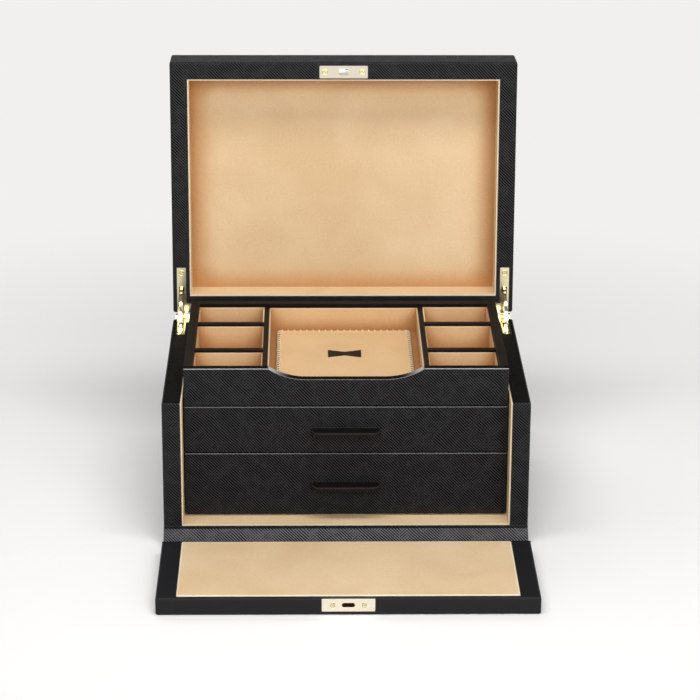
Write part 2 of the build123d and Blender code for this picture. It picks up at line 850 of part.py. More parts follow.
# ---------------------------------------------------------------- the whole box
def nodes():
    left, right, back = wall_boards()
    parts = {
        "base_board": base_board(),
        "case_left_wall": left,
        "case_right_wall": right,
        "case_back_wall": back,
        "case_leather_cover": case_leather(),
        "base_felt": base_felt(),
        "base_hinge_leather": base_hinge_leather(),
        "floor_lining": floor_lining(),
        "wall_linings": wall_linings(),
        "drawer_shelf": shelf_board(lower_shelf_z),
        "tray_shelf": shelf_board(upper_shelf_z),
        "case_hinge_leaves": solids_of(*[case_leaf(side) for side in EACH_SIDE]),
        "hinge_pins": solids_of(*[hinge_pin(side) for side in EACH_SIDE]),
        "case_leaf_screws": solids_of(*[
            screw(*place, rim_height) for side in EACH_SIDE for place in leaf_screw_places(side)
        ]),
        "quadrant_stays": solids_of(*[stay(side) for side in EACH_SIDE]),
    }
    lid_parts = {
        **lid_boards(),
        "lid_leather_cover": lid_leather(),
        "lid_panel_pad": lid_panel_pad(),
        "lid_side_linings": lid_side_linings(),
        "lid_hinge_leaves": solids_of(*[lid_leaf(side) for side in EACH_SIDE]),
        "lid_lock_plate": lid_plate(),
        "lid_keeper": keeper(),
        "lid_screws": solids_of(
            *[upper_mirror(screw(*place, rim_height))
              for side in EACH_SIDE for place in leaf_screw_places(side)],
            *[screw(x, y, lid_rim_z, down=False)
              for x, y in plate_screws(lid_plate_screw_spacing)],
        ),
    }
    parts.update({name: opened_lid(shape) for name, shape in lid_parts.items()})
    flap_parts = {
        "flap_board": flap_board(),
        "flap_leather_cover": flap_leather(),
        "flap_lining": flap_lining_block(),
        "flap_hinge_leather": flap_hinge_leather(),
        "lock_plate": lock_plate(),
        "lock_case": lock_case(),
        "lock_screws": solids_of(*[
            screw(x, y, rim_height, radius=plate_screw_radius)
            for x, y in plate_screws(flap_plate_screw_spacing)
        ]),
        "key_escutcheon": escutcheon(),
        "lock_bolt": lock_bolt(),
    }
    parts.update({name: opened_flap(shape) for name, shape in flap_parts.items()})
    parts.update(drawer("lower_drawer", lower_front_z, lower_front_top,
                        lined_floor_z + runner_gap, lower_side_height))
    parts.update(drawer("upper_drawer", upper_front_z, upper_front_top,
                        lower_shelf_z + shelf + runner_gap, upper_side_height))
    parts.update(tray_walls())
    parts["tray_long_dividers"] = long_dividers()
    parts["tray_cross_dividers"] = cross_dividers()
    parts["tray_linings"] = tray_linings()
    parts["tray_pad"] = tray_pad()
    parts["bow_inlay"] = bow_inlay()
    return parts


def main():
    os.makedirs("parts", exist_ok=True)
    for name, shape in nodes().items():
        export_step(shape, f"parts/{name}.step")


main()
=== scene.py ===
"""Dresses the frame of the leather cufflink box: its materials, pads, stitching, floor, lamps and camera."""

import json
import math

import bmesh
import bpy
from mathutils import Matrix, Vector, noise


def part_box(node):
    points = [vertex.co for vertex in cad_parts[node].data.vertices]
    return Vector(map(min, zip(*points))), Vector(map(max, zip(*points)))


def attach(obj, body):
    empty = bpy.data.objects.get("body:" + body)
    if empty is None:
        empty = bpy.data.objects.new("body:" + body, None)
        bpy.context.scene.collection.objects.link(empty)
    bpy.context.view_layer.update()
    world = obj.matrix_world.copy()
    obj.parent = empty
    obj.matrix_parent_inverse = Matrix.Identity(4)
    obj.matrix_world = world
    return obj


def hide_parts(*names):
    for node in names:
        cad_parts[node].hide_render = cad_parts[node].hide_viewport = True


bl_info = {
    "name": "Cufflink box dressing",
    "version": (1, 0, 0),
    "blender": (4, 5, 0),
    "location": "3D View > Sidebar > Cufflink box",
    "description": "Puts leather, suede, brass, pads and stitching on the frame of a cufflink box",
    "category": "Object",
}

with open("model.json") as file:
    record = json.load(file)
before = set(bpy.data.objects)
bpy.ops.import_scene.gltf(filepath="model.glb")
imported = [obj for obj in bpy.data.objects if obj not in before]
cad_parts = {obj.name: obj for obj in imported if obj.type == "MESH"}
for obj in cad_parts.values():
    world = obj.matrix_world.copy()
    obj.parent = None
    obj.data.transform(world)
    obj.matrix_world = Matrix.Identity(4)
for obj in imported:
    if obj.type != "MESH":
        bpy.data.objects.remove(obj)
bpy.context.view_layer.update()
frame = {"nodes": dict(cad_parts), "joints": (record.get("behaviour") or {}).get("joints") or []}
MM = 0.001

# Leather
PLAIN_CALF = 0.5  # share of the grain's crest colour that smooth calf shows
DRAWN_CALF = 0.6  # the same where the leather is drawn over an edge, which also paints the edge paler, part of its painted highlight
GRAIN_VALLEY = "#080808"
GRAIN_CREST = "#2D2D2F"
FRONT_CREST = "#2A2A2C"  # the drawers' leather, a little darker
# A lighter copy of the leather for the strip on the slope: painted highlight of the light the slope catches.
SLOPE_VALLEY = "#030303"
SLOPE_HIGHLIGHT_CREST = "#646468"
# Painted shadow at the top edge of the strip.
STRIP_TOP_SHADOW = "#080707"
BURNISHED = "#0F0D0C"
EDGE_PALE_AND_HIGHLIGHT_GREY = "#434345"  # black leather drawn tight over an edge, paler there, and painted lighter as a painted highlight of the light edges catch
UPPER_EDGE_HIGHLIGHT_GREY = "#B4B4B6"  # painted highlight: black leather's upper edges painted pale where the strip lamp's glint falls
EDGE_REACH = 0.8 * MM  # just less than the leather's thickness, so the reach doesn't meet its back
RIDGE_POWER = 1.4  # above 1, the crests are narrower than the valleys
RIDGE_PATCH = 11 * MM  # size of the patches where one set of ridges gives way to the other
WANDER_LENGTH = 14 * MM  # over this the ridges wander by about half of their spacing
WANDER_TURN = 6.0  # radians of the ridges' wave, for a noise that spans about 0.3 to 0.7

# Suede
SUEDE_TAN = "#E2C59D"
PAD_TAN = "#E2BF91"
# The tray's suede is a darker copy of the tan: painted shade of its recessed cells.
TRAY_SHADED_TAN = "#DBB88C"
SUEDE_EDGE_HIGHLIGHT = "#EEDFC0"  # pale suede painted on edges: a painted highlight of the light they catch
SUEDE_FOLD_SHADE = "#8F6440"  # painted shade on the lid panel's rolled edge where it turns under
SUEDE_STITCH_SHADOW = "#3F2715"  # painted shadow in the gaps round the pad's edge stitches
SUEDE_CORNER_SHADE = "#BC8855"  # painted shade of the suede in corners and recesses
NAP_DRIFT = 50 * MM  # size of the patches in which the nap lies one way
FIBRE = 1.1 * MM

# Studio
FLOOR_HALF_SIZE = 9.0
KEY_PLACE, KEY_SIZE = (0.25, -1.75, 0.85), (2.0, 1.2)
STRIP_PLACE, STRIP_SIZE = (0.0, -0.45, 1.6), (1.8, 0.35)
BACK_PLACE, BACK_SIZE = (-0.5, 1.3, 1.7), (1.4, 0.8)
LAMPS_LOOK_AT = (0.0, -0.03, 0.12)
CAMERA_PLACE = (-0.0277, -1.8420, 0.7786)
CAMERA_PITCH, CAMERA_YAW, CAMERA_ROLL = 19.77, 0.978, 0.25  # degrees
SENSOR_WIDTH = 36.0
PALE_WALL = 0.9  # strength of the studio's wall where it is seen


# Small helpers


def linear(code):
    """The linear RGBA colour of an sRGB hex code."""
    channels = [int(code[i : i + 2], 16) / 255 for i in (1, 3, 5)]
    return [c / 12.92 if c <= 0.04045 else ((c + 0.055) / 1.055) ** 2.4 for c in channels] + [1.0]


def lighter(code, factor):
    """A hex colour, linear and this many times as light."""
    return [min(1.0, factor * c) for c in linear(code)[:3]] + [1.0]


def add(tree, kind, links=None, **settings):
    """Adds a node, sets its settings, and fills its sockets with values or with other nodes' outputs."""
    node = tree.nodes.new(kind)
    for name, value in settings.items():
        setattr(node, name, value)
    for socket, value in (links or {}).items():
        if isinstance(value, bpy.types.NodeSocket):
            tree.links.new(value, node.inputs[socket])
        else:
            node.inputs[socket].default_value = value
    return node


def mix_colours(tree, factor, first, second):
    """The first colour turned into the second as the factor goes from 0 to 1."""
    node = add(tree, "ShaderNodeMix", {"Factor": factor, "A": first, "B": second}, data_type="RGBA")
    return node.outputs["Result"]


def mix_numbers(tree, factor, first, second):
    """The first number turned into the second as the factor goes from 0 to 1."""
    node = add(tree, "ShaderNodeMix", {"Factor": factor, "A": first, "B": second}, data_type="FLOAT")
    return node.outputs[0]


def new_material(name):
    """An empty node material with its output, and its node tree."""
    material = bpy.data.materials.get(name) or bpy.data.materials.new(name)
    material.use_nodes = True
    material.node_tree.nodes.clear()
    return material, material.node_tree


def finish_surface(tree, links):
    """The Principled shader with these sockets, wired to the output."""
    shader = add(tree, "ShaderNodeBsdfPrincipled", links)
    add(tree, "ShaderNodeOutputMaterial", {"Surface": shader.outputs["BSDF"]})
    return shader


def coat(material, *names):
    """Gives frame nodes a material through their own slots."""
    for name in names:
        node = frame["nodes"][name]
        if not node.material_slots:
            node.data.materials.append(material)
        for place in node.material_slots:
            place.material = material


def new_piece(name, mesh, body, materials):
    """Links a finished mesh as a named piece that rides on a body."""
    data = bpy.data.meshes.new(name)
    mesh.to_mesh(data)
    mesh.free()
    data.shade_smooth()
    for material in materials:
        data.materials.append(material)
    piece = bpy.data.objects.new(name, data)
    bpy.context.scene.collection.objects.link(piece)
    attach(piece, body)
    return piece


def smooth_step(low, high, value):
    """0 below low, 1 above high, and a soft turn between."""
    t = min(max((value - low) / (high - low), 0.0), 1.0)
    return t * t * (3 - 2 * t)


# Patterns shared by the materials


def face_coordinates(tree):
    """Two flat coordinates, in metres, that lie in whichever face of the box the point is on."""
    place = add(tree, "ShaderNodeTexCoord")
    at = add(tree, "ShaderNodeSeparateXYZ", {0: place.outputs["Object"]})
    facing = add(tree, "ShaderNodeVectorMath", {0: place.outputs["Normal"]}, operation="ABSOLUTE")
    way = add(tree, "ShaderNodeSeparateXYZ", {0: facing.outputs[0]})
    x, y, z = way.outputs["X"], way.outputs["Y"], way.outputs["Z"]
    side = add(tree, "ShaderNodeMath", {0: y, 1: z}, operation="MAXIMUM")
    on_side = add(tree, "ShaderNodeMath", {0: x, 1: side.outputs[0]}, operation="GREATER_THAN")
    flat = add(tree, "ShaderNodeMath", {0: x, 1: y}, operation="MAXIMUM")
    # At 45 degrees the top's coordinates win, so the bevelled foot is grained along its slope.
    raised = add(tree, "ShaderNodeMath", {0: z, 1: 1.08}, operation="MULTIPLY")
    on_top = add(tree, "ShaderNodeMath", {0: raised.outputs[0], 1: flat.outputs[0]}, operation="GREATER_THAN")
    across = mix_numbers(tree, on_side.outputs[0], at.outputs["X"], at.outputs["Y"])
    up = mix_numbers(tree, on_top.outputs[0], at.outputs["Z"], at.outputs["Y"])
    return place, across, up


def ridges(tree, across, up, sign, pitch, sway):
    """Narrow diagonal ridges, 0 in the valleys and 1 on the crests."""
    turned = add(tree, "ShaderNodeMath", {0: up, 1: sign}, operation="MULTIPLY")
    along = add(tree, "ShaderNodeMath", {0: across, 1: turned.outputs[0]}, operation="ADD")
    turns = 2 * math.pi / (pitch * math.sqrt(2))
    phase = add(tree, "ShaderNodeMath", {0: along.outputs[0], 1: turns, 2: sway}, operation="MULTIPLY_ADD")
    wave = add(tree, "ShaderNodeMath", {0: phase.outputs[0]}, operation="SINE")
    half = add(tree, "ShaderNodeMath", {0: wave.outputs[0], 1: 0.5, 2: 0.5}, operation="MULTIPLY_ADD")
    return add(tree, "ShaderNodeMath", {0: half.outputs[0], 1: RIDGE_POWER}, operation="POWER").outputs[0]


def near_edge(tree, reach, share=1.0):
    """1 on the outer edges of a piece, falling to 0 at this reach from them."""
    inside = add(
        tree, "ShaderNodeAmbientOcclusion", {"Distance": reach}, inside=True, only_local=True, samples=6
    )
    edge = add(
        tree,
        "ShaderNodeMapRange",
        {"Value": inside.outputs["AO"], "From Min": 0.97, "From Max": 0.6, "To Max": share},
    )
    return edge.outputs[0]


def patches(tree, coord, size, low, high, least, most):
    """Soft patches of about this size, from least to most."""
    cloud = add(tree, "ShaderNodeTexNoise", {"Vector": coord, "Scale": 1 / size, "Detail": 1.5})
    share = add(
        tree,
        "ShaderNodeMapRange",
        {"Value": cloud.outputs["Fac"], "From Min": low, "From Max": high, "To Min": least, "To Max": most},
        interpolation_type="SMOOTHSTEP",
    )
    return share.outputs[0]


def crossgrain_leather(
    name, settings, valley, crest, rows=1.0, plain_inside=False, shaded_above=None, upper_edge_highlight=0.0, up_dull_and_shade=1.0
):
    """Cross-grained calf leather: plated with two sets of fine diagonal ridges, then lacquered. Only the
    crests hold the lacquer, so they catch a thin grey light and the valleys stay near black. Where it
    turns over an edge it is drawn tight and looks smoother; its edges are painted paler grey, partly for
    the tight leather and partly as a painted highlight of the light they catch. What faces up loses gloss
    and is painted darker, as painted shade. upper_edge_highlight is how strongly its upper front edges are
    painted pale as a painted highlight, up_dull_and_shade how far what faces up loses its gloss and is
    painted darker, and shaded_above the height above which it is painted near black as a painted shadow."""
    material, tree = new_material(name)
    place, across, up = face_coordinates(tree)
    coord = place.outputs["Object"]
    pitch = settings.grain_pitch
    up = add(tree, "ShaderNodeMath", {0: up, 1: rows}, operation="MULTIPLY").outputs[0]
    drift = add(tree, "ShaderNodeTexNoise", {"Vector": coord, "Scale": 1 / WANDER_LENGTH, "Detail": 1.0})
    sway = add(tree, "ShaderNodeMath", {0: drift.outputs["Fac"], 1: WANDER_TURN}, operation="MULTIPLY")
    falling = ridges(tree, across, up, 1.0, pitch, sway.outputs[0])
    rising = ridges(tree, across, up, -1.0, pitch, sway.outputs[0])
    # One set is stronger nearly everywhere, and the other comes up to cross it in patches.
    strong = patches(tree, coord, RIDGE_PATCH, 0.3, 0.42, 0.45, 1.0)
    weak = patches(tree, coord, RIDGE_PATCH, 0.56, 0.36, 0.1, 0.9)
    one = add(tree, "ShaderNodeMath", {0: falling, 1: strong}, operation="MULTIPLY")
    two = add(tree, "ShaderNodeMath", {0: rising, 1: weak}, operation="MULTIPLY")
    both = add(tree, "ShaderNodeMath", {0: one.outputs[0], 1: two.outputs[0]}, operation="MAXIMUM")
    grain = both.outputs[0]
    if plain_inside:
        # Only the face that points down when the flap lies open is grained. The rest is plain calf.
        way = add(tree, "ShaderNodeSeparateXYZ", {0: place.outputs["Normal"]})
        outer = add(tree, "ShaderNodeMath", {0: way.outputs["Z"], 1: -0.7}, operation="LESS_THAN")
        grain = mix_numbers(tree, outer.outputs[0], PLAIN_CALF, grain)
    # Painted highlight: the edges are painted paler grey, partly for leather drawn tight and partly for the
    # light the edges catch.
    edge = near_edge(tree, EDGE_REACH, 0.7)
    smooth = mix_numbers(tree, edge, grain, DRAWN_CALF)
    tone = mix_colours(tree, smooth, linear(valley), linear(crest))
    tone = mix_colours(tree, edge, tone, linear(EDGE_PALE_AND_HIGHLIGHT_GREY))
    facing = add(tree, "ShaderNodeSeparateXYZ", {0: place.outputs["Normal"]})
    # Painted shade: what faces up is painted towards the valley's black, and its specular level is lowered
    # too.
    up_dull_and_shade_mask = add(
        tree,
        "ShaderNodeMapRange",
        {"Value": facing.outputs["Z"], "From Min": 0.85, "From Max": 0.98, "To Max": up_dull_and_shade},
        interpolation_type="SMOOTHSTEP",
    )
    if not plain_inside:
        tone = mix_colours(tree, up_dull_and_shade_mask.outputs[0], tone, linear(valley))
    # Painted highlight: upper edges are painted pale grey where the strip lamp's glint falls.
    if upper_edge_highlight:
        # A rounded normal leans up only on the faces just below an upper edge.
        rounded = add(tree, "ShaderNodeBevel", {"Radius": 0.9 * MM}, samples=6)
        lean = add(tree, "ShaderNodeSeparateXYZ", {0: rounded.outputs[0]})
        upper = add(
            tree,
            "ShaderNodeMapRange",
            {"Value": lean.outputs["Z"], "From Min": 0.25, "From Max": 0.6, "To Max": upper_edge_highlight},
        )
        upright = add(tree, "ShaderNodeMath", {0: 1.0, 1: up_dull_and_shade_mask.outputs[0]}, operation="SUBTRACT")
        rub = add(tree, "ShaderNodeMath", {0: upper.outputs[0], 1: upright.outputs[0]}, operation="MULTIPLY")
        tone = mix_colours(tree, rub.outputs[0], tone, linear(UPPER_EDGE_HIGHLIGHT_GREY))
    # Painted shadow: above this height the strip is painted near black.
    if shaded_above is not None:
        at = add(tree, "ShaderNodeSeparateXYZ", {0: coord})
        shaded_top = add(tree, "ShaderNodeMath", {0: at.outputs["Z"], 1: shaded_above}, operation="GREATER_THAN")
        tone = mix_colours(tree, shaded_top.outputs[0], tone, linear(STRIP_TOP_SHADOW))
    lacquer = mix_colours(tree, smooth, linear("#2A2A2A"), linear("#FFFFFF"))
    shine = add(tree, "ShaderNodeMapRange", {"Value": smooth, "To Min": 0.75, "To Max": 0.4})
    level = add(tree, "ShaderNodeMapRange", {"Value": up_dull_and_shade_mask.outputs[0], "To Min": 0.25, "To Max": 0.03})
    bump = add(
        tree,
        "ShaderNodeBump",
        {"Height": smooth, "Distance": settings.grain_depth, "Strength": 0.8},
    )
    finish_surface(
        tree,
        {
            "Base Color": tone,
            "Roughness": shine.outputs[0],
            "Specular IOR Level": level.outputs[0],
            "Specular Tint": lacquer,
            "Normal": bump.outputs[0],
        },
    )
    return material


def burnished_leather(name, base, roughness=0.5, edge_highlight_gain=4.5):
    """Calf leather skived thin, turned over an edge and burnished with a hot iron: nearly smooth,
    with faint pores, and its edges painted edge_highlight_gain times lighter as a painted highlight."""
    material, tree = new_material(name)
    place = add(tree, "ShaderNodeTexCoord")
    coord = place.outputs["Object"]
    pores = add(tree, "ShaderNodeTexVoronoi", {"Vector": coord, "Scale": 1 / (0.9 * MM)})
    rub = add(tree, "ShaderNodeTexNoise", {"Vector": coord, "Scale": 1 / (14 * MM), "Detail": 3.0})
    tone = mix_colours(tree, rub.outputs["Fac"], linear(base), lighter(base, 1.7))
    # Painted highlight: the edges are painted lighter.
    lit_edges = mix_colours(
        tree, near_edge(tree, 1.2 * MM, 0.6), tone, lighter(base, edge_highlight_gain)
    )
    gloss = add(
        tree,
        "ShaderNodeMapRange",
        {"Value": rub.outputs["Fac"], "To Min": roughness + 0.07, "To Max": roughness - 0.07},
    )
    bump = add(
        tree,
        "ShaderNodeBump",
        {"Height": pores.outputs["Distance"], "Distance": 0.03 * MM, "Strength": 0.5},
    )
    finish_surface(
        tree,
        {
            "Base Color": lit_edges,
            "Roughness": gloss.outputs[0],
            "Specular IOR Level": 0.07,
            "Normal": bump.outputs[0],
        },
    )
    return material


def brushed_suede(name, base, edge_highlight=True, depth=None):
    """Split calf suede, sanded and brushed: a short dull nap with no shine, whose lie changes in
    soft patches, so the colour drifts a little lighter and darker, over a fine fibre grain. With
    edge_highlight, its edges are painted paler, a painted highlight of the light they catch. Within
    depth of a corner it is painted a deeper, redder brown, a painted shade of the corner."""
    material, tree = new_material(name)
    place = add(tree, "ShaderNodeTexCoord")
    coord = place.outputs["Object"]
    lie = add(
        tree,
        "ShaderNodeTexNoise",
        {"Vector": coord, "Scale": 1 / NAP_DRIFT, "Detail": 2.0, "Roughness": 0.45, "Distortion": 0.4},
    )
    fibre = add(tree, "ShaderNodeTexNoise", {"Vector": coord, "Scale": 1 / FIBRE, "Detail": 2.0})
    rgb = linear(base)[:3]
    dark = [0.93 * rgb[0], 0.9 * rgb[1], 0.86 * rgb[2], 1.0]
    light = [min(1.0, 1.03 * rgb[0]), min(1.0, 1.05 * rgb[1]), min(1.0, 1.07 * rgb[2]), 1.0]
    spread = add(
        tree,
        "ShaderNodeMapRange",
        {"Value": lie.outputs["Fac"], "From Min": 0.3, "From Max": 0.7},
    )
    tone = mix_colours(tree, spread.outputs[0], dark, light)
    # Painted highlight: edges within 0.9 mm are painted pale.
    if edge_highlight:
        tone = mix_colours(tree, near_edge(tree, 0.9 * MM), tone, linear(SUEDE_EDGE_HIGHLIGHT))
    # Painted shade: near corners the suede is painted a redder brown.
    if depth is not None:
        near = add(tree, "ShaderNodeAmbientOcclusion", {"Distance": depth}, samples=8)
        corner_shade = add(
            tree,
            "ShaderNodeMapRange",
            {"Value": near.outputs["AO"], "From Min": 1.0, "From Max": 0.4},
            interpolation_type="SMOOTHSTEP",
        )
        tone = mix_colours(tree, corner_shade.outputs[0], tone, linear(SUEDE_CORNER_SHADE))
    specks = add(
        tree,
        "ShaderNodeMapRange",
        {"Value": fibre.outputs["Fac"], "From Min": 0.3, "From Max": 0.7, "To Min": 0.95, "To Max": 1.04},
    )
    tone = add(
        tree, "ShaderNodeVectorMath", {0: tone, "Scale": specks.outputs[0]}, operation="SCALE"
    )
    bump = add(
        tree,
        "ShaderNodeBump",
        {"Height": fibre.outputs["Fac"], "Distance": 0.1 * MM, "Strength": 0.5},
    )
    finish_surface(
        tree,
        {
            "Base Color": tone.outputs[0],
            "Roughness": 0.95,
            "Specular IOR Level": 0.1,
            "Sheen Weight": 0.08,
            "Sheen Roughness": 0.5,
            "Sheen Tint": linear("#FFE6C8"),
            "Normal": bump.outputs[0],
        },
    )
    return material


def plated_brass(name, base, roughness):
    """Brass stamped from sheet, polished and plated in pale gold: mirror-like, with hairlines from
    the mop and a slightly duller haze where fingers touch."""
    material, tree = new_material(name)
    place = add(tree, "ShaderNodeTexCoord")
    stretched = add(
        tree,
        "ShaderNodeVectorMath",
        {0: place.outputs["Object"], 1: (0.12, 1.0, 1.0)},
        operation="MULTIPLY",
    )
    lines = add(
        tree, "ShaderNodeTexNoise", {"Vector": stretched.outputs[0], "Scale": 1 / (0.4 * MM), "Detail": 2.0}
    )
    haze = add(
        tree, "ShaderNodeTexNoise", {"Vector": place.outputs["Object"], "Scale": 1 / (5 * MM), "Detail": 2.0}
    )
    rough = add(
        tree,
        "ShaderNodeMapRange",
        {"Value": haze.outputs["Fac"], "To Min": roughness - 0.04, "To Max": roughness + 0.06},
    )
    bump = add(
        tree,
        "ShaderNodeBump",
        {"Height": lines.outputs["Fac"], "Distance": 0.01 * MM, "Strength": 0.4},
    )
    tone = mix_colours(tree, haze.outputs["Fac"], linear(base), lighter(base, 0.93))
    finish_surface(
        tree,
        {
            "Base Color": tone,
            "Metallic": 1.0,
            "Roughness": rough.outputs[0],
            "Normal": bump.outputs[0],
        },
    )
    return material


def drawn_steel(name, base, roughness):
    """Mild steel drawn through a die and left bare: grey, with fine lines along its length."""
    return plated_brass(name, base, roughness)


def lacquered_steel(name, base):
    """Sheet steel dipped in a red-brown baking lacquer: a thin even gloss with a slight orange peel."""
    material, tree = new_material(name)
    place = add(tree, "ShaderNodeTexCoord")
    peel = add(tree, "ShaderNodeTexNoise", {"Vector": place.outputs["Object"], "Scale": 1 / (1.5 * MM)})
    tone = mix_colours(tree, peel.outputs["Fac"], linear(base), lighter(base, 1.3))
    bump = add(
        tree,
        "ShaderNodeBump",
        {"Height": peel.outputs["Fac"], "Distance": 0.02 * MM, "Strength": 0.4},
    )
    finish_surface(
        tree,
        {"Base Color": tone, "Roughness": 0.4, "Normal": bump.outputs[0]},
    )
    return material


def pressed_felt(name, base):
    """Wool felt, wetted and pressed: matt, with a tangle of fibres about a third of a millimetre wide."""
    material, tree = new_material(name)
    place = add(tree, "ShaderNodeTexCoord")
    tangle = add(
        tree,
        "ShaderNodeTexNoise",
        {"Vector": place.outputs["Object"], "Scale": 1 / (0.9 * MM), "Detail": 4.0, "Distortion": 1.5},
    )
    tone = mix_colours(tree, tangle.outputs["Fac"], linear(base), lighter(base, 2.2))
    bump = add(
        tree,
        "ShaderNodeBump",
        {"Height": tangle.outputs["Fac"], "Distance": 0.3 * MM, "Strength": 0.7},
    )
    finish_surface(
        tree,
        {
            "Base Color": tone,
            "Roughness": 1.0,
            "Specular IOR Level": 0.05,
            "Sheen Weight": 0.2,
            "Normal": bump.outputs[0],
        },
    )
    return material


def fibreboard(name, base):
    """Medium-density fibreboard, sawn: a matt brown with short pale fibres."""
    material, tree = new_material(name)
    place = add(tree, "ShaderNodeTexCoord")
    fibres = add(
        tree,
        "ShaderNodeTexNoise",
        {"Vector": place.outputs["Object"], "Scale": 1 / (1.6 * MM), "Detail": 4.0, "Distortion": 0.8},
    )
    tone = mix_colours(tree, fibres.outputs["Fac"], lighter(base, 0.7), lighter(base, 1.35))
    bump = add(
        tree,
        "ShaderNodeBump",
        {"Height": fibres.outputs["Fac"], "Distance": 0.1 * MM, "Strength": 0.5},
    )
    finish_surface(
        tree,
        {"Base Color": tone, "Roughness": 0.85, "Normal": bump.outputs[0]},
    )
    return material


def waxed_thread(name, base):
    """Linen thread, twisted and waxed: a satin cord whose plies show as fine slanting light and dark."""
    material, tree = new_material(name)
    place = add(tree, "ShaderNodeTexCoord")
    plies = add(
        tree,
        "ShaderNodeTexWave",
        {"Vector": place.outputs["Object"], "Scale": 1 / (0.9 * MM), "Distortion": 0.5},
        bands_direction="DIAGONAL",
    )
    tone = mix_colours(tree, plies.outputs["Fac"], lighter(base, 0.72), linear(base))
    finish_surface(
        tree,
        {"Base Color": tone, "Roughness": 0.6, "Specular IOR Level": 0.3},
    )
    return material


def seen_directly(tree):
    """1 for what the camera, a polished surface or glass sees, and 0 for light on its way to the box."""
    path = add(tree, "ShaderNodeLightPath")
    mirrored = add(
        tree,
        "ShaderNodeMath",
        {0: path.outputs["Is Glossy Ray"], 1: path.outputs["Is Transmission Ray"]},
        operation="MAXIMUM",
    )
    seen = add(
        tree,
        "ShaderNodeMath",
        {0: path.outputs["Is Camera Ray"], 1: mirrored.outputs[0]},
        operation="MAXIMUM",
    )
    return seen.outputs[0]


def matt_paper(name, colour):
    """Studio background paper: uncoated, even and without shine. Far from the box it keeps one pale
    tone, as a sheet lit from end to end does."""
    material, tree = new_material(name)
    place = add(tree, "ShaderNodeTexCoord")
    tooth = add(
        tree, "ShaderNodeTexNoise", {"Vector": place.outputs["Object"], "Scale": 1 / (4 * MM), "Detail": 3.0}
    )
    tone = mix_colours(
        tree, tooth.outputs["Fac"], [0.985 * c for c in colour[:3]] + [1.0], list(colour[:3]) + [1.0]
    )
    seen = seen_directly(tree)
    bright = mix_colours(tree, seen, tone, linear("#FBFAF8"))
    paper = add(
        tree,
        "ShaderNodeBsdfPrincipled",
        {"Base Color": bright, "Roughness": 0.95, "Specular IOR Level": 0.1},
    )
    away = add(tree, "ShaderNodeVectorMath", {0: place.outputs["Object"]}, operation="LENGTH")
    far = add(
        tree,
        "ShaderNodeMapRange",
        {"Value": away.outputs["Value"], "From Min": 0.25, "From Max": 0.75},
        interpolation_type="SMOOTHSTEP",
    )
    share = add(tree, "ShaderNodeMath", {0: far.outputs[0], 1: seen}, operation="MULTIPLY")
    lit = add(tree, "ShaderNodeEmission", {"Color": linear("#F1F0EE"), "Strength": 1.0})
    both = add(
        tree, "ShaderNodeMixShader", {"Fac": share.outputs[0], 1: paper.outputs["BSDF"], 2: lit.outputs[0]}
    )
    add(tree, "ShaderNodeOutputMaterial", {"Surface": both.outputs[0]})
    return material


# Meshes


def slab_rings(count_x, count_y):
    """Points round a rectangle, as shares of its half sizes, one per spacing."""
    points = []
    for i in range(count_x):
        points.append((-1 + 2 * i / count_x, -1.0))
    for i in range(count_y):
        points.append((1.0, -1 + 2 * i / count_y))
    for i in range(count_x):
        points.append((1 - 2 * i / count_x, 1.0))
    for i in range(count_y):
        points.append((-1.0, 1 - 2 * i / count_y))
    return points


